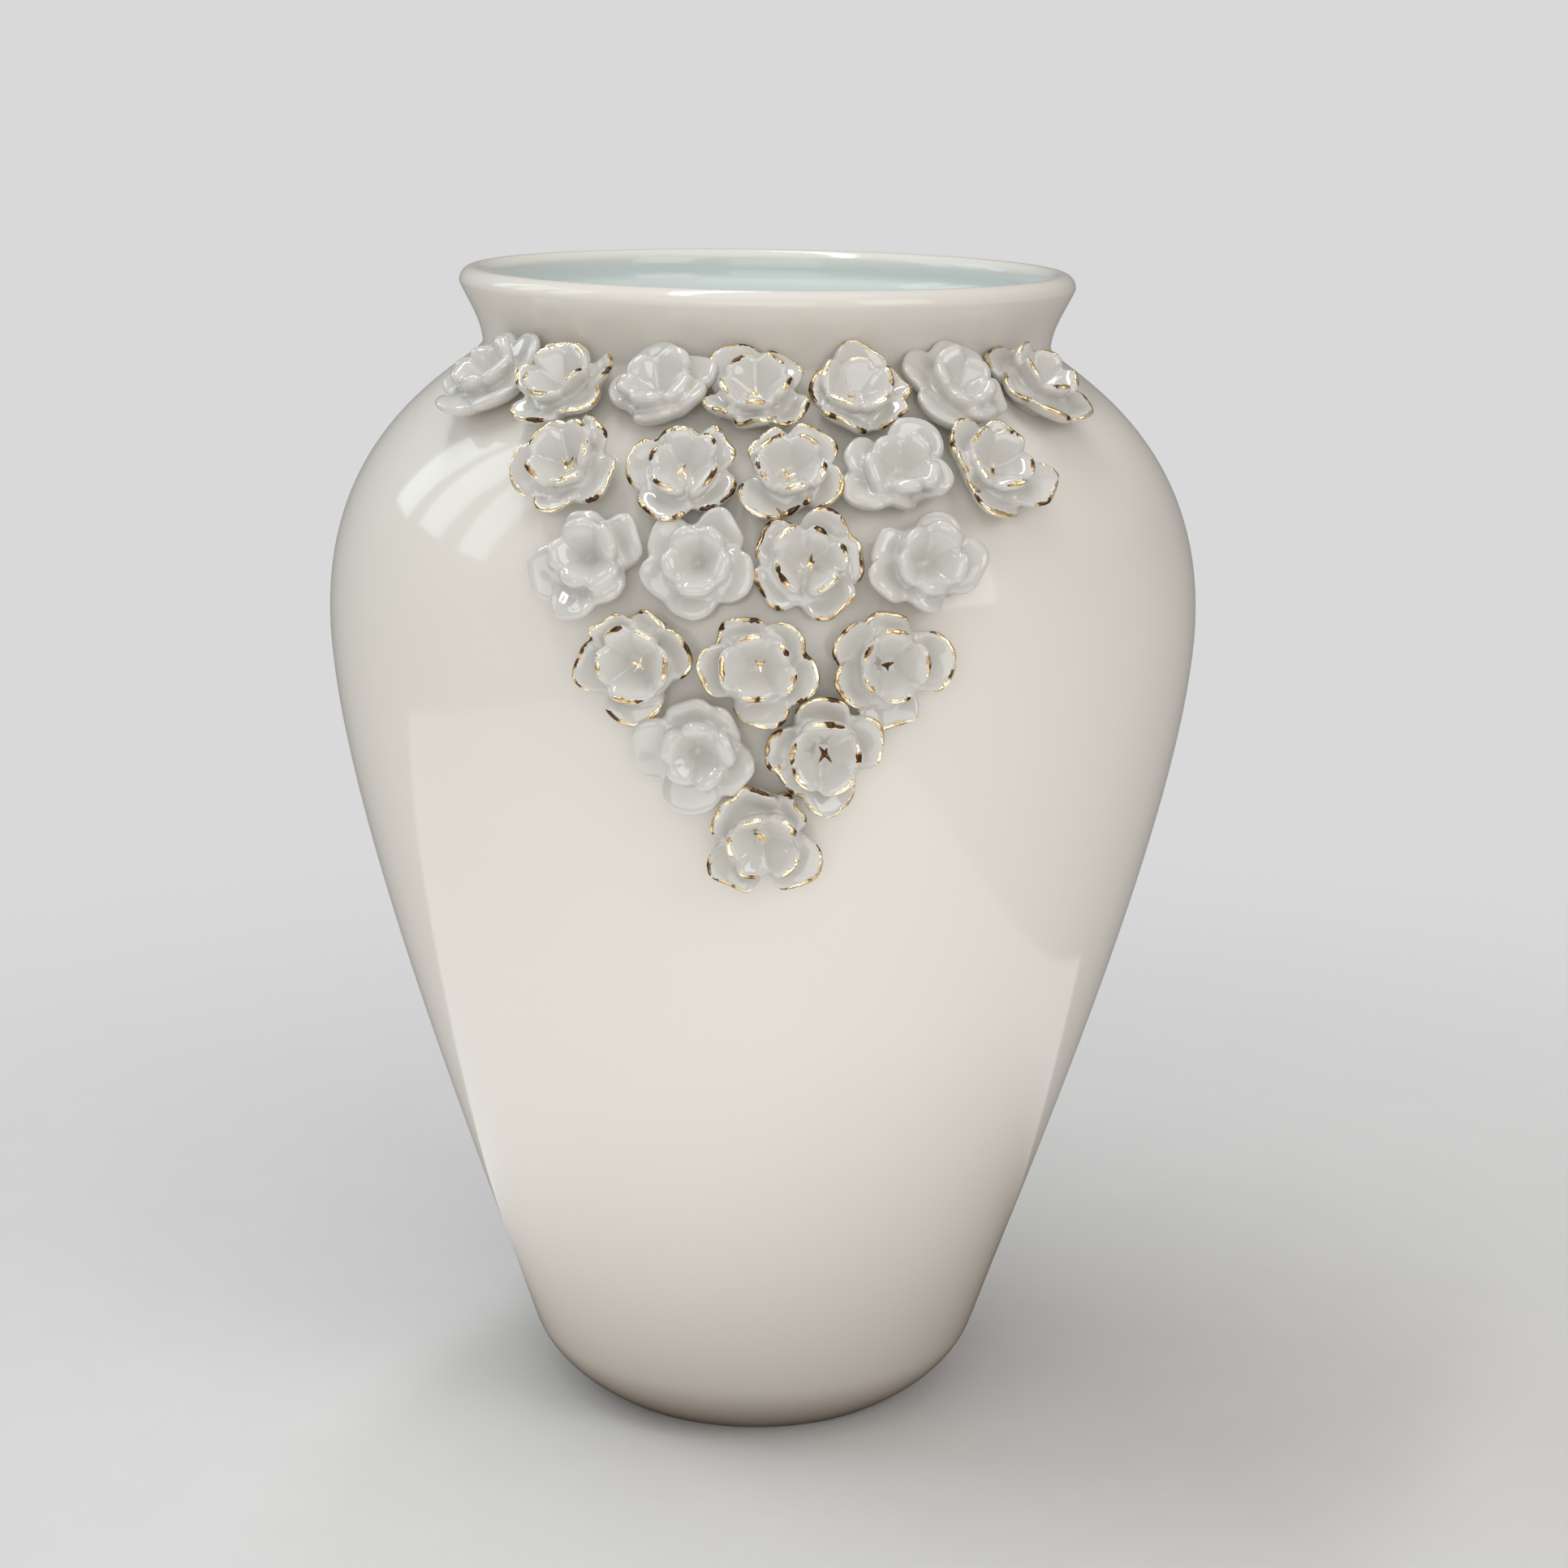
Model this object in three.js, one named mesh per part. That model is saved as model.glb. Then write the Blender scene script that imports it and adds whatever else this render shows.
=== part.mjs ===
import * as THREE from "three";

// A porcelain vase with applied flowers. Millimetres, +Z up, the axis of the vase on Z and its flat
// base on z = 0. The flowers cover the front of the shoulder, and the front faces -Y.

// The four sizes that drive the outline, each a radius and its height above the base.
const BASE = { radius: 43, height: 0 };
const BELLY = { radius: 112.3, height: 212.5 };
const NECK = { radius: 72.7, height: 281 };
const LIP = { radius: 78.5, height: 296.5 };

const WALL = 5;
const LIP_THICKNESS = 7;
const FLOOR = 8;
const CURVE_STEPS = 9;
const FACETS = 44;

// A flower is two hand-formed layers, a spreading corolla and an upright cup inside it.
const GAP = 0.3;
const LOBE_REACH = 15;
const LOBE_VALLEY = 11.2;
const LOBE_RISE = 5.6;
const VALLEY_RISE = 4.4;
const LAYER = 1.7;
const PAD_RADIUS = 6;
const PAD_THICKNESS = 2.4;
const CUP_RADIUS = 8.6;
const CUP_VALLEY = 7.4;
const CUP_HEIGHT = 10.4;
const CUP_NOTCH = 8.8;
const CUP_FOOT = 3.8;
const QUARTERS = 4;

const GLAZE = { color: 0xe9e4d8, roughness: 0.14, metalness: 0 };
const FLOWER_GLAZE = { color: 0xefece4, roughness: 0.16, metalness: 0 };

// The rows of flowers from the neck down. A flower has its turn about the vase in degrees from the
// front, and the directions of its five corolla lobes and five cup petals, anticlockwise from the
// flower's right. Each is different, because each was pinched by hand.
const FLOWER_ROWS = [
  {
    height: 273,
    flowers: [
      { turn: -51, lobes: [60, 140, 190, 265, 325], petals: [75, 140, 205, 280, 345] },
      { turn: -34, lobes: [30, 125, 180, 255, 325], petals: [60, 140, 205, 270, 345] },
      { turn: -17, lobes: [50, 110, 175, 280, 345], petals: [70, 140, 205, 260, 345] },
      { turn: -1.5, lobes: [60, 125, 215, 265, 325], petals: [55, 125, 200, 270, 340] },
      { turn: 14, lobes: [15, 72, 165, 240, 320], petals: [5, 75, 150, 230, 305] },
      { turn: 32, lobes: [65, 130, 215, 285, 350], petals: [35, 95, 170, 250, 320] },
      { turn: 50, lobes: [50, 115, 175, 235, 310], petals: [40, 110, 180, 250, 325] },
    ],
  },
  {
    height: 258,
    flowers: [
      { turn: -26.5, lobes: [60, 130, 195, 265, 340], petals: [10, 75, 150, 230, 300] },
      { turn: -10.5, lobes: [40, 105, 172, 245, 330], petals: [40, 100, 165, 235, 335] },
      { turn: 3, lobes: [50, 130, 230, 285, 335], petals: [55, 115, 205, 280, 345] },
      { turn: 17.5, lobes: [55, 150, 210, 262, 345], petals: [45, 110, 190, 270, 340] },
      { turn: 31.5, lobes: [55, 125, 190, 250, 330], petals: [50, 120, 200, 275, 340] },
    ],
  },
  {
    height: 240,
    flowers: [
      { turn: -20.5, lobes: [35, 112, 208, 255, 305], petals: [30, 115, 190, 250, 310] },
      { turn: -7.5, lobes: [55, 150, 200, 262, 338], petals: [55, 130, 190, 270, 350] },
      { turn: 5, lobes: [5, 60, 140, 215, 302], petals: [12, 70, 125, 207, 312] },
      { turn: 19, lobes: [60, 165, 205, 258, 352], petals: [45, 130, 195, 270, 340] },
    ],
  },
  {
    height: 219,
    flowers: [
      { turn: -14, lobes: [15, 75, 130, 182, 270], petals: [0, 70, 120, 182, 265] },
      { turn: -0.5, lobes: [40, 115, 190, 272, 345], petals: [36, 100, 182, 268, 340] },
      { turn: 14, lobes: [5, 95, 150, 205, 272], petals: [5, 88, 150, 212, 278] },
    ],
  },
  {
    height: 200,
    flowers: [
      { turn: -7, lobes: [45, 105, 180, 265, 335], petals: [20, 90, 160, 230, 300] },
      { turn: 6.8, lobes: [12, 95, 178, 225, 280], petals: [0, 85, 175, 215, 310] },
    ],
  },
  {
    height: 180,
    flowers: [{ turn: 0.2, lobes: [50, 95, 145, 230, 315], petals: [35, 108, 190, 245, 325] }],
  },
];

/** The outside of the vase from the edge of its base to the widest part of the lip. */
function outsideCurve() {
  const path = new THREE.Path();
  path.moveTo(BASE.radius, BASE.height);
  path.bezierCurveTo(BASE.radius + 6, 3.5, BASE.radius + 14, 9.5, BASE.radius + 17, 18);
  path.bezierCurveTo(74, 60.5, BELLY.radius, BELLY.height - 48, BELLY.radius, BELLY.height);
  path.bezierCurveTo(BELLY.radius, BELLY.height + 50, NECK.radius, NECK.height - 4.5, NECK.radius, NECK.height);
  path.bezierCurveTo(NECK.radius, NECK.height + 6, LIP.radius - 1, LIP.height - 3.5, LIP.radius, LIP.height);
  return path;
}

/** The outline moved inwards by the wall thickness, from the neck down to the rounded floor. */
function insidePoints(outside) {
  const inside = [];
  for (let i = 1; i + 1 < outside.length; i += 1) {
    const along = outside[i + 1].clone().sub(outside[i - 1]).normalize();
    const inwards = new THREE.Vector2(-along.y, along.x).multiplyScalar(WALL);
    inside.push(outside[i].clone().add(inwards));
  }
  return inside.filter((point) => point.y > 2 * FLOOR && point.y < LIP.height - 3);
}

/** The body: one turned solid, open at the mouth, with a rolled lip and a flat base. */
function vaseBody() {
  const outside = outsideCurve().getPoints(CURVE_STEPS);
  const lip = new THREE.EllipseCurve(
    LIP.radius - LIP_THICKNESS / 2,
    LIP.height,
    LIP_THICKNESS / 2,
    LIP_THICKNESS / 2,
    0,
    Math.PI,
  );
  const inside = insidePoints(outside).reverse();
  const floorRadius = inside.at(-1).x - FLOOR;
  const section = [
    new THREE.Vector2(0, 0),
    ...outside,
    ...lip.getPoints(6).slice(1),
    ...inside,
    new THREE.Vector2(floorRadius + FLOOR / 2, 1.4 * FLOOR),
    new THREE.Vector2(floorRadius - FLOOR / 2, FLOOR),
    new THREE.Vector2(0, FLOOR),
  ];
  return new THREE.LatheGeometry(section, FACETS).rotateX(Math.PI / 2);
}

/** Where a flower sits: its point on the wall, with axes to the right, up the wall and outwards. */
function flowerSeat(outside, height, turn) {
  const next = outside.findIndex((point) => point.y > height);
  const [below, above] = [outside[next - 1], outside[next]];
  const along = above.clone().sub(below);
  const radius = below.x + (along.x * (height - below.y)) / along.y;
  const [lean, rise] = along.normalize().toArray();
  const angle = THREE.MathUtils.degToRad(turn);
  const front = new THREE.Vector3(Math.sin(angle), -Math.cos(angle), 0);
  const right = new THREE.Vector3(Math.cos(angle), Math.sin(angle), 0);
  const up = front.clone().multiplyScalar(lean).setZ(rise);
  const outwards = front.clone().multiplyScalar(rise).setZ(-lean);
  const wall = front.clone().multiplyScalar(radius).setZ(height);
  // The wall curves out above the top row, so the pad is lifted until it clears the wall there.
  let lift = 0;
  for (const point of outside) {
    const across = (point.x - radius) * lean + (point.y - height) * rise;
    const stands = (point.x - radius) * rise - (point.y - height) * lean;
    if (Math.abs(across) < PAD_RADIUS + 1) {
      lift = Math.max(lift, stands);
    }
  }
  const origin = wall.addScaledVector(outwards, lift + GAP);
  return { origin, right, up, outwards };
}

/** How far a corolla may spread in one direction before it would meet the next flower. */
function roomInDirection(seat, seats, direction) {
  let room = LOBE_REACH;
  for (const other of seats) {
    const away = other.origin.clone().sub(seat.origin);
    const across = new THREE.Vector2(away.dot(seat.right), away.dot(seat.up));
    const facing = across.dot(direction) / across.length();
    if (other !== seat && facing > 0.2) {
      room = Math.min(room, (across.length() / 2 - GAP) / facing);
    }
  }
  return room;
}

/** The directions around a flower, with a wave that is 1 at a petal's middle and 0 between petals. */
function directionsAround(petals) {
  const around = [];
  petals.forEach((start, index) => {
    const gap = (petals[(index + 1) % petals.length] - start + 360) % 360;
    for (let quarter = 0; quarter < QUARTERS; quarter += 1) {
      const angle = THREE.MathUtils.degToRad(start + (gap * quarter) / QUARTERS);
      const wave = Math.abs(Math.cos((Math.PI * quarter) / QUARTERS));
      around.push({ direction: new THREE.Vector2(Math.cos(angle), Math.sin(angle)), wave });
    }
  });
  return around;
}

/** A closed surface over rings of points, with a fan to one point at each end. */
function ringedSurface(bottom, rings, top) {
  const count = rings[0].length;
  const points = [bottom, ...rings.flat(), top];
  const last = points.length - 1;
  const at = (ring, step) => 1 + ring * count + (step % count);
  const faces = [];
  for (let step = 0; step < count; step += 1) {
    faces.push(0, at(0, step + 1), at(0, step));
    for (let ring = 0; ring + 1 < rings.length; ring += 1) {
      faces.push(at(ring, step), at(ring, step + 1), at(ring + 1, step + 1));
      faces.push(at(ring, step), at(ring + 1, step + 1), at(ring + 1, step));
    }
    faces.push(last, at(rings.length - 1, step), at(rings.length - 1, step + 1));
  }
  const geometry = new THREE.BufferGeometry().setFromPoints(points);
  geometry.setIndex(faces);
  return geometry;
}

/** One layer of a flower. Its section gives a radius and a height for each ring around the flower. */
function flowerLayer(around, section, bottomHeight, topHeight) {
  const rings = section.map((shape) =>
    around.map((place) => {
      const [radius, height] = shape(place);
      return new THREE.Vector3(place.direction.x * radius, place.direction.y * radius, height);
    }),
  );
  return ringedSurface(new THREE.Vector3(0, 0, bottomHeight), rings, new THREE.Vector3(0, 0, topHeight));
}

/** The spreading outer layer, a shallow dish whose rim waves out and up at each lobe. */
function corolla(seat, seats, lobes) {
  const around = directionsAround(lobes).map((place) => {
    const spread = THREE.MathUtils.lerp(LOBE_VALLEY, LOBE_REACH, place.wave);
    const reach = Math.min(spread, roomInDirection(seat, seats, place.direction));
    const rise = THREE.MathUtils.lerp(VALLEY_RISE, LOBE_RISE, place.wave);
    return { ...place, reach, rise };
  });
  const section = [
    () => [PAD_RADIUS, 0],
    ({ reach, rise }) => [0.82 * reach, 0.4 * (rise - LAYER)],
    ({ reach, rise }) => [reach, rise - LAYER / 2],
    ({ reach, rise }) => [reach - LAYER / 2, rise],
    ({ reach, rise }) => [0.78 * reach, 0.4 * (rise - LAYER) + LAYER],
    () => [PAD_RADIUS - 1, PAD_THICKNESS],
  ];
  return flowerLayer(around, section, 0, PAD_THICKNESS);
}

/** The upright inner layer, a ring of petals around a cone-shaped hollow. */
function cup(petals) {
  const around = directionsAround(petals).map((place) => ({
    ...place,
    reach: THREE.MathUtils.lerp(CUP_VALLEY, CUP_RADIUS, place.wave),
    rim: THREE.MathUtils.lerp(CUP_NOTCH, CUP_HEIGHT, place.wave),
  }));
  const foot = PAD_THICKNESS + GAP;
  const section = [
    () => [CUP_FOOT, foot],
    ({ reach, rim }) => [0.85 * reach, 0.6 * rim],
    ({ reach, rim }) => [reach, rim - LAYER / 2],
    ({ reach, rim }) => [reach - LAYER / 2, rim],
    ({ reach, rim }) => [reach - 1.3 * LAYER, rim - LAYER],
    () => [0.3 * CUP_RADIUS, foot + 2.2],
  ];
  return flowerLayer(around, section, foot, foot + 1.2);
}

/** A named piece of the vase. */
function piece(name, geometry, look) {
  const mesh = new THREE.Mesh(geometry, new THREE.MeshStandardMaterial(look));
  mesh.name = name;
  return mesh;
}

/** One flower: its two layers, in a group that stands on the wall at the flower's seat. */
function flowerGroup(name, flower, seat, seats) {
  const group = new THREE.Group();
  group.add(
    piece(`${name}_corolla`, corolla(seat, seats, flower.lobes), FLOWER_GLAZE),
    piece(`${name}_cup`, cup(flower.petals), FLOWER_GLAZE),
  );
  const place = new THREE.Matrix4().makeBasis(seat.right, seat.up, seat.outwards);
  group.applyMatrix4(place.setPosition(seat.origin));
  return group;
}

/** Every flower, named by its row from the neck down and its place from the left. */
function flowerGroups() {
  const outside = outsideCurve().getPoints(8 * CURVE_STEPS);
  const placed = FLOWER_ROWS.flatMap(({ height, flowers }, row) =>
    flowers.map((flower, place) => ({
      name: `flower_${row + 1}_${place + 1}`,
      flower,
      seat: flowerSeat(outside, height, flower.turn),
    })),
  );
  const seats = placed.map(({ seat }) => seat);
  return placed.map(({ name, flower, seat }) => flowerGroup(name, flower, seat, seats));
}

const vase = new THREE.Group();
vase.add(piece("vase_body", vaseBody(), GLAZE), ...flowerGroups());

export default vase;
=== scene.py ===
"""A porcelain vase with applied flowers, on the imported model's frame. Metres, +Z up, facing -Y."""

import math
import random

import bpy
import numpy as np
from mathutils import Matrix, Vector
from mathutils.bvhtree import BVHTree


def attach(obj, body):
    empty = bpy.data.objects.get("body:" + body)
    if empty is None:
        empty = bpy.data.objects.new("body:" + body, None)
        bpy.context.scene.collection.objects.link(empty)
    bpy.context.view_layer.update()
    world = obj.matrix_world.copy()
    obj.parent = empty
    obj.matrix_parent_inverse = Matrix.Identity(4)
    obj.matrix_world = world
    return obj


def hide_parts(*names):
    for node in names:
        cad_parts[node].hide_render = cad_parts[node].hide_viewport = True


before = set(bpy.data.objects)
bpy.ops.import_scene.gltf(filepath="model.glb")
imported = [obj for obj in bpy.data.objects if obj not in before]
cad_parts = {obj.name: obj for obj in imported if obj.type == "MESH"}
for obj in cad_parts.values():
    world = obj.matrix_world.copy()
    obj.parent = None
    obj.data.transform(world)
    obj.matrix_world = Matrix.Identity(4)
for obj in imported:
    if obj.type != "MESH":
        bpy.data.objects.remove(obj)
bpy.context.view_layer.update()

MM = 0.001
FLOWERS = sorted({name.rsplit("_", 1)[0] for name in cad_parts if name.startswith("flower_")})
GILDED = {
    "flower_1_2", "flower_1_4", "flower_1_5", "flower_1_7",
    "flower_2_1", "flower_2_2", "flower_2_3", "flower_2_5",
    "flower_3_3",
    "flower_4_1", "flower_4_2", "flower_4_3",
    "flower_5_2",
    "flower_6_1",
}

# The steps around the turned body, and the vertices of a CAD corolla's foot with the one at its centre.
AROUND = 256
FOOT_POINTS = 21

# Sizes of the pressed porcelain, in millimetres.
LOBE_HALF_THICKNESS = 1.45
CUP_HALF_THICKNESS = 1.5
PAD_SPREAD = 6.6
PAD_HALF_THICKNESS = 2.2
DISH_HALF_THICKNESS = 2.4
EXTRA_GLAZE = 0.5
FUSED_GRID = 0.42
GOLD_PROUD = 0.1
GOLD_SUNK = 0.05
GOLD_BURIED = 0.3

# Colours, as linear red, green and blue.
WHITE = (0.80, 0.765, 0.705)
# Painted shade: the petals' glaze is set darker than the body's same glaze, standing in for shade on the
# flowers.
PETAL_WHITE_WITH_PAINTED_SHADE = (0.66, 0.645, 0.605)
CELADON = (0.74, 0.82, 0.80)
BISCUIT = (0.70, 0.63, 0.53)
# Painted reflection: the dark and the bright gold stand in for dark and bright reflections; the deep gold
# is the gilding's own colour.
GOLD_PAINTED_DARK_REFLECTION = (0.11, 0.06, 0.03)
GOLD_DEEP = (0.78, 0.59, 0.32)
GOLD_PAINTED_BRIGHT_REFLECTION = (1.0, 0.90, 0.66)
BACKDROP = (0.693, 0.693, 0.693)
TABLE = (0.78, 0.78, 0.78)
# Painted shade: a dark patch under the vase that all rays but the camera's see in place of the pale table
# top.
PAINTED_SHADE_PATCH = (0.15, 0.105, 0.06)


# ---------------------------------------------------------------- mesh helpers


def vertices_of(node):
    """The vertices of a CAD node, in metres, in the row frame."""
    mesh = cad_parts[node].data
    points = np.zeros(len(mesh.vertices) * 3)
    mesh.vertices.foreach_get("co", points)
    return np.unique(points.reshape(-1, 3).round(7), axis=0)


def new_object(name, vertices, faces, smooth=True):
    """A mesh object from an array of vertices in metres and a list of faces."""
    mesh = bpy.data.meshes.new(name)
    mesh.from_pydata([tuple(v) for v in vertices], [], [tuple(f) for f in faces])
    mesh.validate()
    mesh.polygons.foreach_set("use_smooth", [smooth] * len(mesh.polygons))
    mesh.update()
    made = bpy.data.objects.new(name, mesh)
    bpy.context.scene.collection.objects.link(made)
    return made


def joined(shells):
    """Several (vertices, faces) shells as one."""
    vertices, faces, start = [], [], 0
    for shell, its_faces in shells:
        vertices.append(shell)
        faces.extend(tuple(i + start for i in face) for face in its_faces)
        start += len(shell)
    return np.vstack(vertices), faces


def with_modifiers_applied(made, modifiers):
    """Adds each (type, settings) modifier to an object in turn and keeps only the resulting mesh."""
    for kind, settings in modifiers:
        modifier = made.modifiers.new(kind.title(), kind)
        for key, value in settings.items():
            setattr(modifier, key, value)
    graph = bpy.context.evaluated_depsgraph_get()
    result = bpy.data.meshes.new_from_object(made.evaluated_get(graph))
    made.modifiers.clear()
    before = made.data
    made.data = result
    bpy.data.meshes.remove(before)
    result.polygons.foreach_set("use_smooth", [True] * len(result.polygons))
    return made


def smooth_curve(points, steps):
    """A smooth open curve through points, with the given number of steps to each span."""
    points = np.asarray(points, float)
    ends = (2 * points[0] - points[1], 2 * points[-1] - points[-2])
    padded = np.vstack([ends[0], points, ends[1]])
    lengths = np.linalg.norm(np.diff(padded, axis=0), axis=1) ** 0.5
    knots = np.concatenate([[0], np.cumsum(lengths)])
    curve = []
    for i in range(1, len(padded) - 2):
        p0, p1, p2, p3 = padded[i - 1 : i + 3]
        t0, t1, t2, t3 = knots[i - 1 : i + 3]
        for t in np.linspace(t1, t2, steps, endpoint=False):
            a1 = (p0 * (t1 - t) + p1 * (t - t0)) / (t1 - t0)
            a2 = (p1 * (t2 - t) + p2 * (t - t1)) / (t2 - t1)
            a3 = (p2 * (t3 - t) + p3 * (t - t2)) / (t3 - t2)
            b1 = (a1 * (t2 - t) + a2 * (t - t0)) / (t2 - t0)
            b2 = (a2 * (t3 - t) + a3 * (t - t1)) / (t3 - t1)
            curve.append((b1 * (t2 - t) + b2 * (t - t1)) / (t2 - t1))
    curve.append(points[-1])
    return np.array(curve)


# ---------------------------------------------------------------- the body


def body_section():
    """The CAD body's section as radius and height, from the base's edge over the lip to the floor."""
    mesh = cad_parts["vase_body"].data
    keys = {}
    for vertex in mesh.vertices:
        x, y, z = vertex.co
        if abs(x) < 1e-5 and y < -1e-4:
            keys[vertex.index] = (round(-y, 6), round(z, 6))
    beside = {}
    for edge in mesh.edges:
        a, b = (keys.get(v) for v in edge.vertices)
        if a and b and a != b:
            beside.setdefault(a, set()).add(b)
            beside.setdefault(b, set()).add(a)
    start = max((key for key in beside if key[1] < 1e-5), key=lambda key: key[0])
    walk = [start]
    while True:
        onward = [key for key in beside[walk[-1]] if key not in walk]
        if not onward:
            return np.array(walk)
        walk.append(min(onward, key=lambda key: math.dist(key, walk[-1])))


def turned_surface(section, around):
    """A surface of revolution about Z through a section that starts and ends on the axis."""
    angles = np.linspace(0, 2 * math.pi, around, endpoint=False)
    radius = section[1:-1, 0][:, None]
    height = np.repeat(section[1:-1, 1][:, None], around, axis=1)
    ring = np.stack([radius * np.sin(angles), -radius * np.cos(angles), height], axis=2)
    rows = len(section) - 2
    vertices = np.vstack([ring.reshape(-1, 3), [[0, 0, section[0, 1]], [0, 0, section[-1, 1]]]])
    first, last = len(vertices) - 2, len(vertices) - 1
    faces = []
    for j in range(around):
        k = (j + 1) % around
        faces.append((first, k, j))
        for low in range(0, (rows - 1) * around, around):
            faces.append((low + j, low + k, low + around + k, low + around + j))
        faces.append((last, (rows - 1) * around + j, (rows - 1) * around + k))
    return vertices, faces


def make_body():
    """The pot: the CAD section made smooth and turned finely, with its inside and its foot marked."""
    section = body_section()
    fine = smooth_curve(section, 4)
    edge = fine[0]
    base = [(0, 0), (edge[0] * 0.5, 0), (edge[0] - 1.2 * MM, 0)]
    floor = [(fine[-1][0] * 0.5, fine[-1][1]), (0, fine[-1][1])]
    section = np.vstack([base, fine, floor])
    vertices, faces = turned_surface(section, AROUND)
    body = new_object("porcelain_body", vertices, faces)
    # The inside and the unglazed underside, for the glaze to tell apart.
    rim = int(np.argmax(section[:, 1]))
    row = np.repeat(np.arange(1, len(section) - 1), AROUND)
    depth = np.where(row > rim, section[rim, 1] - section[row, 1], 0)
    inside = np.append(np.clip(depth / (5 * MM), 0, 1), (0, 1))
    biscuit = np.append(section[row, 1] < 0.2 * MM, (1, 0)) * 1.0
    for name, values in (("inside", inside), ("biscuit", biscuit)):
        body.data.attributes.new(name, "FLOAT", "POINT").data.foreach_set("value", values)
    return body


# ---------------------------------------------------------------- reading a flower from the CAD


class Seat:
    """A flower's own axes, to its right, up the wall and outwards, in millimetres from its foot."""

    def __init__(self, flower):
        points = vertices_of(flower + "_corolla")
        middle = points.mean(axis=0)
        _, _, axes = np.linalg.svd(points - middle)
        out = axes[2] * np.sign(axes[2] @ (middle * (1, 1, 0)))
        # The foot of the corolla is a flat ring of vertices around one at its centre.
        foot = points[np.argsort((points - middle) @ out)[:FOOT_POINTS]]
        spread = []
        for i, point in enumerate(foot):
            others = np.arange(FOOT_POINTS) != i
            spread.append(np.linalg.norm(foot - point, axis=1)[others].std())
        self.origin = foot[int(np.argmin(spread))]
        _, _, axes = np.linalg.svd(foot - self.origin)
        self.out = axes[2] * np.sign(axes[2] @ out)
        self.right = np.cross((0, 0, 1), self.out)
        self.right /= np.linalg.norm(self.right)
        self.up = np.cross(self.out, self.right)

    def to_local(self, points):
        """Row-frame points in metres as this seat's millimetres."""
        return (points - self.origin) @ np.array([self.right, self.up, self.out]).T / MM

    def to_row(self, points):
        """This seat's millimetres as row-frame points in metres."""
        return self.origin + np.asarray(points) @ np.array([self.right, self.up, self.out]) * MM


def petals_of(seat, node):
    """One CAD layer's petals: the direction, half gap to either side, reach and rim height of each."""
    x, y, height = seat.to_local(vertices_of(node)).T
    reach, turn = np.hypot(x, y), np.degrees(np.arctan2(y, x)) % 360
    rim = {}
    for key in np.unique(np.round(turn[reach > 4]).astype(int) % 360):
        near = np.flatnonzero((np.abs((turn - key + 180) % 360 - 180) < 1.0) & (reach > 4))
        best = near[np.argmax(reach[near])]
        rim[round(float(turn[best]), 1)] = (float(reach[best]), float(height[best]))
    turns = sorted(rim)
    count = len(turns)
    tips = []
    for i, turn_here in enumerate(turns):
        beside = (turns[i - 1], turns[(i + 1) % count])
        if rim[turn_here][1] > max(rim[t][1] for t in beside):
            tips.append(turn_here)
    petals = []
    for i, tip in enumerate(tips):
        after = (tips[(i + 1) % len(tips)] - tip) % 360 / 2
        before = (tip - tips[i - 1]) % 360 / 2
        petals.append(
            {
                "turn": math.radians(tip),
                "before": math.radians(before),
                "after": math.radians(after),
                "reach": rim[tip][0],
                "height": rim[tip][1],
            }
        )
    return petals


# ---------------------------------------------------------------- porcelain flowers


def pillow(middle, half_thickness):
    """A closed, round-edged solid on a middle surface that maps the unit disc's a, b to points."""
    rings = np.array([0.0, 0.25, 0.5, 0.7, 0.84, 0.93, 0.98, 1.0])
    sides = 36
    turns = np.linspace(0, 2 * math.pi, sides, endpoint=False)
    a, b = rings[:, None] * np.cos(turns), rings[:, None] * np.sin(turns)
    centre, step = middle(a, b), 0.01
    along_a = middle(a + step, b) - middle(a - step, b)
    along_b = middle(a, b + step) - middle(a, b - step)
    normal = np.cross(along_a, along_b)
    normal /= np.linalg.norm(normal, axis=2, keepdims=True)
    depth = half_thickness * np.sqrt(np.clip(1 - rings**4, 0, 1))[:, None, None]
    top, under = centre + normal * depth, centre - normal * depth
    count = len(rings)
    shells = np.vstack([top.reshape(-1, 3), under[:-1].reshape(-1, 3)])
    faces = []
    for j in range(sides):
        k = (j + 1) % sides
        for i in range(count - 1):
            faces.append((i * sides + j, (i + 1) * sides + j, (i + 1) * sides + k, i * sides + k))
            low = count * sides
            outer = (count - 1) * sides if i == count - 2 else low + (i + 1) * sides
            faces.append((low + i * sides + k, outer + k, outer + j, low + i * sides + j))
    return shells, faces


def rounded_square(a, b, power):
    """Unit-disc coordinates spread towards the corners of a square, as a pressed petal's outline is."""
    bulge = (np.abs(a) ** power + np.abs(b) ** power + 1e-9) ** (1 / power)
    spread = np.hypot(a, b) / bulge
    return a * spread, b * spread


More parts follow.
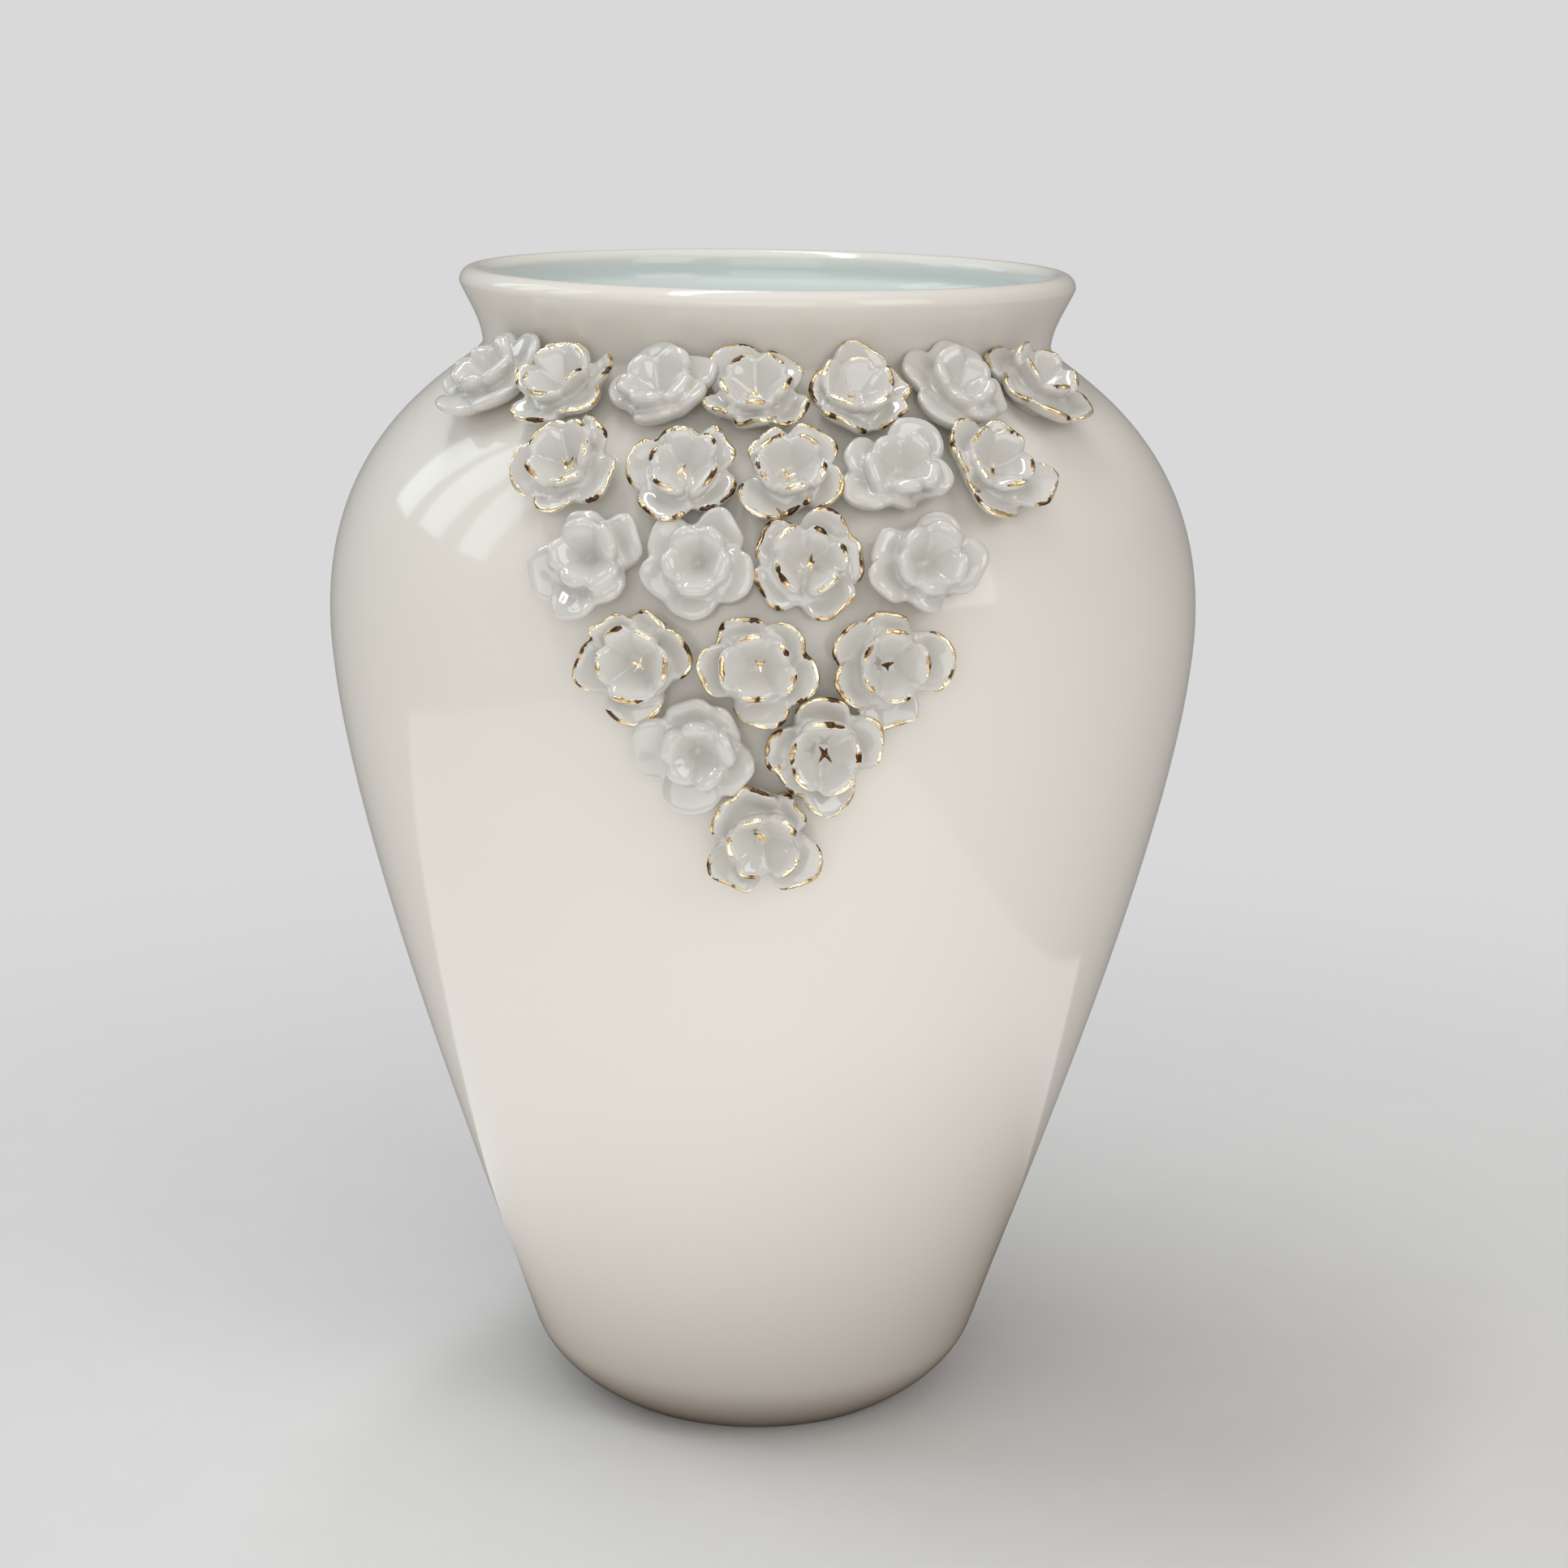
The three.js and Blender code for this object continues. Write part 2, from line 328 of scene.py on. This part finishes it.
def lobe_surface(petal, rng):
    """The middle surface of one corolla lobe: a rounded tongue, hollowed and turned up at its rim."""
    reach = petal["reach"] + 1.3 - LOBE_HALF_THICKNESS + rng.uniform(-0.7, 0.7)
    rim = petal["height"] + 1.4 + rng.uniform(-1.6, 1.6)
    tilt, wave, phase = rng.uniform(-1.7, 1.7), rng.uniform(0.3, 0.9), rng.uniform(0, 6)
    curl, skew = rng.uniform(1.4, 3.0), rng.uniform(-1.0, 1.0)

    def middle(a, b):
        a, b = rounded_square(a, b, 2.3)
        out = (a + 1) / 2
        half = np.clip(np.where(b > 0, petal["after"], petal["before"]), 0.42, 0.56)
        across = b * reach * np.sin(half) * (0.80 + 0.20 * out) + skew * out
        along = reach * (0.1 + 0.9 * out) - wave * np.cos(3.4 * b + phase) * out**3
        height = 2.2 + (rim - 2.2) * out**2.6 + curl * b**2 * out
        height = height + tilt * b + wave * np.sin(3 * b + phase) * out**2
        return turned(along, across, height, petal["turn"])

    return middle


def dish_surface(lobes):
    """The middle surface of the shallow dish that the corolla's lobes are pressed out of."""
    reach = 0.74 * min(petal["reach"] for petal in lobes)

    def middle(a, b):
        out = np.hypot(a, b)
        return np.stack([reach * a, reach * b, 1.4 + 3.2 * out**2], axis=-1)

    return middle


def cup_surface(petal, rng):
    """The middle surface of one cup petal: a broad flat scoop that leans out from the centre."""
    reach = petal["reach"] - 0.3 + rng.uniform(-0.9, 0.9)
    rim = petal["height"] + 0.8 + rng.uniform(-1.3, 1.1)
    lean, wave, phase = rng.uniform(-1.3, 1.3), rng.uniform(0.2, 0.6), rng.uniform(0, 6)
    bow, droop = rng.uniform(16, 40), rng.uniform(2.2, 3.4)

    def middle(a, b):
        a, b = rounded_square(a, b, 2.9)
        out = (a + 1) / 2
        half = np.clip(np.where(b > 0, petal["after"], petal["before"]), 0.45, 0.80)
        along = 1.2 + (reach - 1.2) * out**0.9
        across = b * (along * np.tan(half) * 0.78 + 0.7)
        along = along - across**2 / bow * out
        height = 2.0 + (rim - 2.0) * out**1.05 - droop * b**4 * out**5
        height = height + lean * b * out + wave * np.sin(3 * b + phase) * out**2
        return turned(along, across, height, petal["turn"])

    return middle


def turned(along, across, height, turn):
    """Points given along and across a direction, turned to that direction about the flower's axis."""
    x = along * math.cos(turn) - across * math.sin(turn)
    y = along * math.sin(turn) + across * math.cos(turn)
    return np.stack([x, y, height], axis=-1)


def pad_surface(a, b):
    """The middle surface of the pad of slip that holds a flower to the wall."""
    return np.stack([PAD_SPREAD * a, PAD_SPREAD * b, 0.7 + 0 * a], axis=-1)


def fused(name, shells, seat, softness):
    """Overlapping closed shells run together as glaze does: the object, and its surface to paint on."""
    vertices, faces = joined(shells)
    made = new_object(name, vertices * MM, faces)
    with_modifiers_applied(
        made,
        [
            ("REMESH", {"mode": "VOXEL", "voxel_size": FUSED_GRID * MM, "use_smooth_shade": True}),
            ("SMOOTH", {"factor": 0.5, "iterations": softness}),
        ],
    )
    mesh = made.data
    points = np.zeros(len(mesh.vertices) * 3)
    mesh.vertices.foreach_get("co", points)
    points = points.reshape(-1, 3) / MM
    tree = BVHTree.FromPolygons(points.tolist(), [tuple(p.vertices) for p in mesh.polygons])
    mesh.vertices.foreach_set("co", seat.to_row(points).ravel())
    mesh.update()
    return made, tree


def make_flower(flower, rng):
    """A whole flower: pad, corolla lobes and cup petals fused into one porcelain surface."""
    seat = Seat(flower)
    corolla = petals_of(seat, flower + "_corolla")
    lobes = [lobe_surface(p, rng) for p in corolla]
    petals = [cup_surface(p, rng) for p in petals_of(seat, flower + "_cup")]
    # The plain flowers were dipped in more glaze than the ones that were to be gilded.
    glaze, softness = (0, 20) if flower in GILDED else (EXTRA_GLAZE, 36)
    shells = [
        pillow(pad_surface, PAD_HALF_THICKNESS),
        pillow(dish_surface(corolla), DISH_HALF_THICKNESS),
    ]
    shells += [pillow(surface, LOBE_HALF_THICKNESS + glaze) for surface in lobes]
    shells += [pillow(surface, CUP_HALF_THICKNESS + glaze) for surface in petals]
    made, surface = fused("porcelain_" + flower, shells, seat, softness)
    gold = gild("gilding_" + flower, seat, surface, lobes, petals, rng) if flower in GILDED else None
    return made, gold


# ---------------------------------------------------------------- gilding


def rim_line(middle, start, end, lift):
    """Points just outside a petal's rim, between two turns round its outline."""
    count = max(4, int(abs(end - start) * 16))
    turns = np.linspace(start, end, count)
    line = middle(np.cos(turns)[None], np.sin(turns)[None])[0]
    outward = line * (1, 1, 0)
    outward /= np.linalg.norm(outward, axis=1, keepdims=True)
    return line + lift[0] * outward + np.array((0, 0, lift[1]))


def brushed(count, width, rng):
    """Widths along a brush stroke: uneven, and tapering to nothing at both ends."""
    s = np.linspace(0, 1, count)
    uneven = 1.0
    for swell, pace in ((0.28, 7), (0.2, 15), (0.12, 31)):
        uneven = uneven + swell * np.sin(pace * s + rng.uniform(0, 6))
    return width * uneven * np.clip(np.minimum(s, 1 - s) * 7, 0.12, 1) ** 0.6


def ribbon(surface, line, widths):
    """A thin closed skin of gold along a line on a surface, with its edges sunk into the glaze."""
    line = np.array([surface.find_nearest(Vector(p))[0] for p in line])
    along = np.gradient(line, axis=0)
    across = np.linspace(-1, 1, 7)
    top, under = [], []
    for point, ahead, width in zip(line, along, widths):
        normal = np.array(surface.find_nearest(Vector(point))[1])
        side = np.cross(normal, ahead)
        side /= max(np.linalg.norm(side), 1e-6)
        for step in across:
            spot, normal, _, _ = surface.find_nearest(Vector(point + side * step * width / 2))
            lift = (GOLD_PROUD + GOLD_SUNK) * (1 - step**4) - GOLD_SUNK
            top.append(np.array(spot + normal * lift))
            under.append(np.array(spot - normal * GOLD_BURIED))
    rows, columns = len(line), len(across)
    low = rows * columns
    faces = []
    for i in range(rows - 1):
        for j in range(columns - 1):
            a, b = i * columns + j, (i + 1) * columns + j
            faces += [(a, b, b + 1, a + 1), (low + a, low + a + 1, low + b + 1, low + b)]
        a, b = i * columns, (i + 1) * columns
        faces.append((a, low + a, low + b, b))
        a, b = a + columns - 1, b + columns - 1
        faces.append((a, b, low + b, low + a))
    for j in range(columns - 1):
        a, b = j, low - columns + j
        faces += [(a, a + 1, low + a + 1, low + a), (b, low + b, low + b + 1, b + 1)]
    return np.array(top + under), faces


def rim_strokes(surface, middle, reach, width, lift, gap, rng):
    """Brush strokes round one petal's rim: one long stroke, or two with a gap the brush left."""
    start, end = -reach * rng.uniform(0.75, 1.05), reach * rng.uniform(0.75, 1.05)
    spans = [(start, end)]
    if rng.random() < gap:
        cut = rng.uniform(0.35, 0.65) * (end - start) + start
        spans = [(start, cut - 0.07), (cut + 0.07, end)]
    strokes = []
    for first, last in spans:
        line = rim_line(middle, first, last, lift)
        strokes.append(ribbon(surface, line, brushed(len(line), width * rng.uniform(0.85, 1.15), rng)))
    return strokes


def star_strokes(surface, rng):
    """Three or four short pointed dabs meeting in the bottom of the cup."""
    arms = rng.choice((3, 4, 4))
    x, y, first = rng.uniform(-0.7, 0.7), rng.uniform(-0.7, 0.7), rng.uniform(0, 6)
    strokes = []
    for arm in range(arms):
        turn = first + arm * 2 * math.pi / arms + rng.uniform(-0.35, 0.35)
        line = []
        for distance in np.linspace(-0.35, rng.uniform(1.2, 2.4), 8):
            above = Vector((x + distance * math.cos(turn), y + distance * math.sin(turn), 30))
            line.append(surface.ray_cast(above, Vector((0, 0, -1)))[0])
        strokes.append(ribbon(surface, line, np.linspace(1.7, 0.25, 8)))
    return strokes


def gild(name, seat, surface, lobes, petals, rng):
    """All the gold on one flower: round its lobes, on its cup petals' rims and a star at its heart."""
    strokes = star_strokes(surface, rng)
    for middle in lobes:
        strokes += rim_strokes(surface, middle, 1.35, 1.95, (0.6, 1.0), 0.5, rng)
    for middle in petals:
        strokes += rim_strokes(surface, middle, 0.66, 1.65, (-0.1, 1.5), 0.15, rng)
    vertices, faces = joined(strokes)
    return new_object(name, seat.to_row(vertices), faces)


# ---------------------------------------------------------------- materials


def material(name, roughness, metallic=0.0, specular=0.5, coat=0.0):
    """A Principled material with its constant settings, and the parts needed to add detail to it."""
    made = bpy.data.materials.new(name)
    made.use_nodes = True
    nodes, links = made.node_tree.nodes, made.node_tree.links
    shader = nodes["Principled BSDF"]
    shader.inputs["Roughness"].default_value = roughness
    shader.inputs["Metallic"].default_value = metallic
    shader.inputs["Specular IOR Level"].default_value = specular
    shader.inputs["Coat Weight"].default_value = coat
    shader.inputs["Coat Roughness"].default_value = 0.04
    return made, nodes, links, shader


def noise(nodes, links, scale, detail=2.0):
    """Noise in the row frame's own space, at a scale per metre."""
    place = nodes.new("ShaderNodeTexCoord")
    texture = nodes.new("ShaderNodeTexNoise")
    texture.inputs["Scale"].default_value = scale
    texture.inputs["Detail"].default_value = detail
    links.new(place.outputs["Object"], texture.inputs["Vector"])
    return texture.outputs["Fac"]


def ramp(nodes, links, source, stops):
    """A colour ramp over a value: stops are (position, colour) pairs."""
    made = nodes.new("ShaderNodeValToRGB")
    elements = made.color_ramp.elements
    while len(elements) < len(stops):
        elements.new(0.5)
    for element, (position, colour) in zip(elements, stops):
        element.position = position
        element.color = (*colour, 1)
    links.new(source, made.inputs["Fac"])
    return made.outputs["Color"]


def mottled(nodes, links, scale, colour, depth):
    """A colour that drifts to a slightly darker shade of itself."""
    darker = tuple(c * (1 - depth) for c in colour)
    return ramp(nodes, links, noise(nodes, links, scale), [(0.3, colour), (0.7, darker)])


def blend(nodes, links, factor, first, second):
    """Two colours blended by a factor; each may be a socket or a plain colour."""
    made = nodes.new("ShaderNodeMix")
    made.data_type = "RGBA"
    for value, socket in ((first, made.inputs[6]), (second, made.inputs[7])):
        if isinstance(value, tuple):
            socket.default_value = (*value, 1)
        else:
            links.new(value, socket)
    links.new(factor, made.inputs["Factor"])
    return made.outputs[2]


def bump(nodes, links, shader, source, strength, distance):
    """A faint relief on a material."""
    made = nodes.new("ShaderNodeBump")
    made.inputs["Strength"].default_value = strength
    made.inputs["Distance"].default_value = distance
    links.new(source, made.inputs["Height"])
    links.new(made.outputs["Normal"], shader.inputs["Normal"])


def body_glaze():
    """Warm white glaze outside, a pale celadon tint inside and bare biscuit under the foot."""
    made, nodes, links, shader = material("body_glaze", 0.09)
    outside = mottled(nodes, links, 9, WHITE, 0.025)
    inside = nodes.new("ShaderNodeAttribute")
    inside.attribute_name = "inside"
    glazed = blend(nodes, links, inside.outputs["Fac"], outside, CELADON)
    foot = nodes.new("ShaderNodeAttribute")
    foot.attribute_name = "biscuit"
    links.new(blend(nodes, links, foot.outputs["Fac"], glazed, BISCUIT), shader.inputs["Base Color"])
    bump(nodes, links, shader, noise(nodes, links, 26, 1.0), 0.05, 0.002)
    return made


def flower_glaze():
    """The same glaze lying thicker and cooler over the pressed petals, its colour set darker than the
    body's as painted shade.
    """
    made, nodes, links, shader = material("flower_glaze", 0.07, coat=1.0)
    shader.inputs["Subsurface Weight"].default_value = 0.05
    shader.inputs["Subsurface Radius"].default_value = (1.0, 0.85, 0.7)
    shader.inputs["Subsurface Scale"].default_value = 0.002
    links.new(mottled(nodes, links, 120, PETAL_WHITE_WITH_PAINTED_SHADE, 0.03), shader.inputs["Base Color"])
    bump(nodes, links, shader, noise(nodes, links, 240, 1.0), 0.12, 0.0008)
    return made


def gilding():
    """Brushed-on gold, its colour patched by noise with painted dark reflections and painted bright
    reflections.
    """
    made, nodes, links, shader = material("gilding", 0.16, metallic=1.0)
    # Painted reflection: noise patches the gold's colour dark and bright in place of reflections.
    stops = [(0.38, GOLD_PAINTED_DARK_REFLECTION), (0.44, GOLD_DEEP), (0.50, GOLD_DEEP), (0.55, GOLD_PAINTED_BRIGHT_REFLECTION)]
    links.new(ramp(nodes, links, noise(nodes, links, 230, 1.0), stops), shader.inputs["Base Color"])
    bump(nodes, links, shader, noise(nodes, links, 520, 2.0), 0.5, 0.0006)
    return made


# ---------------------------------------------------------------- camera, light and floor


def make_camera():
    """A camera a little above the vase's shoulder and in front of it, looking slightly down."""
    data = bpy.data.cameras.new("camera")
    data.lens = 71.1
    data.sensor_width = 36
    data.clip_start, data.clip_end = 0.01, 50
    camera = bpy.data.objects.new("camera", data)
    bpy.context.scene.collection.objects.link(camera)
    pitch, yaw, roll = (math.radians(v) for v in (13.371, 0.441, 0.896))
    forward = Vector((math.sin(yaw) * math.cos(pitch), math.cos(yaw) * math.cos(pitch), -math.sin(pitch)))
    right = Vector((math.cos(yaw), -math.sin(yaw), 0))
    up = right.cross(forward)
    turned_right = right * math.cos(roll) + up * math.sin(roll)
    turned_up = -right * math.sin(roll) + up * math.cos(roll)
    camera.matrix_world = Matrix((turned_right, turned_up, -forward)).transposed().to_4x4()
    camera.location = (0, -0.8, 0.3547)
    bpy.context.scene.camera = camera


def area(name, location, target, size, power, colour=(1, 1, 1)):
    """A soft box that lights the vase and shows in its glaze but not to the camera."""
    data = bpy.data.lights.new(name, "AREA")
    data.shape = "RECTANGLE"
    data.size, data.size_y = size
    data.energy = power
    data.color = colour
    light = bpy.data.objects.new(name, data)
    light.location = location
    light.rotation_mode = "QUATERNION"
    light.rotation_quaternion = (Vector(target) - Vector(location)).to_track_quat("-Z", "Y")
    light.visible_camera = False
    bpy.context.scene.collection.objects.link(light)
    return light


def make_world(front, back, colour):
    """An even pale backdrop for the camera, and for all else a room that is darker at the back."""
    world = bpy.data.worlds.new("studio")
    bpy.context.scene.world = world
    world.use_nodes = True
    nodes, links = world.node_tree.nodes, world.node_tree.links
    nodes.clear()
    out = nodes.new("ShaderNodeOutputWorld")
    seen = nodes.new("ShaderNodeBackground")
    room = nodes.new("ShaderNodeBackground")
    choose = nodes.new("ShaderNodeMixShader")
    seen.inputs["Color"].default_value = (*BACKDROP, 1)
    room.inputs["Color"].default_value = (*colour, 1)
    place = nodes.new("ShaderNodeTexCoord")
    axes = nodes.new("ShaderNodeSeparateXYZ")
    shade = nodes.new("ShaderNodeMapRange")
    shade.inputs["From Min"].default_value = -1
    shade.inputs["To Min"].default_value = front
    shade.inputs["To Max"].default_value = back
    links.new(place.outputs["Generated"], axes.inputs[0])
    links.new(axes.outputs["Y"], shade.inputs["Value"])
    links.new(shade.outputs["Result"], room.inputs["Strength"])
    path = nodes.new("ShaderNodeLightPath")
    links.new(path.outputs["Is Camera Ray"], choose.inputs["Fac"])
    links.new(room.outputs[0], choose.inputs[1])
    links.new(seen.outputs[0], choose.inputs[2])
    links.new(choose.outputs[0], out.inputs[0])


def faded(nodes, links, near, far):
    """One within the near distance from the vase's axis, falling smoothly to zero at the far one."""
    place = nodes.new("ShaderNodeTexCoord")
    length = nodes.new("ShaderNodeVectorMath")
    length.operation = "LENGTH"
    links.new(place.outputs["Object"], length.inputs[0])
    fade = nodes.new("ShaderNodeMapRange")
    fade.interpolation_type = "SMOOTHSTEP"
    fade.inputs["From Min"].default_value = near
    fade.inputs["From Max"].default_value = far
    fade.inputs["To Min"].default_value = 1.0
    fade.inputs["To Max"].default_value = 0.0
    links.new(length.outputs["Value"], fade.inputs["Value"])
    return fade.outputs["Result"]


def make_floor():
    """A pale table top, fading into the backdrop; the glaze sees a dark patch of painted shade round the
    foot, and the table glow beyond it.
    """
    side = 1.6
    corners = [(-side, -side, 0), (side, -side, 0), (side, side, 0), (-side, side, 0)]
    floor = new_object("table_top", corners, [(0, 1, 2, 3)], smooth=False)
    made, nodes, links, shader = material("table_top", 0.6, specular=0.2)
    pale = mottled(nodes, links, 40, TABLE, 0.02)
    path = nodes.new("ShaderNodeLightPath")
    # Painted shade: rays other than the camera's see the dark patch colour instead of the pale top.
    links.new(blend(nodes, links, path.outputs["Is Camera Ray"], PAINTED_SHADE_PATCH, pale), shader.inputs["Base Color"])
    opaque = nodes.new("ShaderNodeMix")
    links.new(path.outputs["Is Camera Ray"], opaque.inputs["Factor"])
    links.new(faded(nodes, links, 0.09, 0.20), opaque.inputs[2])
    links.new(faded(nodes, links, 0.12, 0.6), opaque.inputs[3])
    links.new(opaque.outputs[0], shader.inputs["Alpha"])
    floor.data.materials.append(made)
    # The painted shade patch and the shadow both lie a little to the right of the foot.
    floor.location.x = 0.035
    return floor


def make_lights():
    """A window to the left, soft light from the ceiling and the front, and a glowing table top."""
    area("table_glow", (-0.19, -0.215, -0.01), (-0.19, -0.215, 1), (0.95, 0.67), 1.43, (0.97, 0.99, 1.0))
    for number, back in enumerate((-0.15, 0.25, 0.65)):
        pane = f"window_{number + 1}"
        area(pane, (-1.2, back, 1.0), (0, 0, 0.24), (0.27, 0.8), 1.4, (0.78, 0.92, 1.0))
    area("ceiling", (0, -0.4, 1.6), (0, 0, 0.25), (1.2, 1.2), 2.5)
    area("skylight", (-0.25, 0.1, 1.3), (0, 0, 0.28), (1.2, 0.11), 4, (0.95, 0.98, 1.0))
    area("right", (1.0, -0.9, 0.9), (0, 0, 0.24), (0.7, 0.8), 3.7)
    area("front", (-0.1, -1.6, 0.6), (0, 0, 0.12), (1.2, 0.9), 4.2, (0.96, 0.98, 1.0))


# ---------------------------------------------------------------- putting it together


def finish_piece(piece, look, nodes=()):
    """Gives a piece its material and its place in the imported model."""
    piece.data.materials.append(look)
    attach(piece, "root")
    if nodes:
        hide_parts(*nodes)


finish_piece(make_body(), body_glaze(), ["vase_body"])

petal_glaze, gold = flower_glaze(), gilding()
for number, flower in enumerate(FLOWERS):
    porcelain, gilt = make_flower(flower, random.Random(number + 1))
    finish_piece(porcelain, petal_glaze, [flower + "_corolla", flower + "_cup"])
    if gilt:
        finish_piece(gilt, gold)

make_camera()
make_world(0.58, 0.24, (1.0, 0.96, 0.92))
make_lights()
make_floor()
bpy.context.scene.view_settings.view_transform = "Standard"
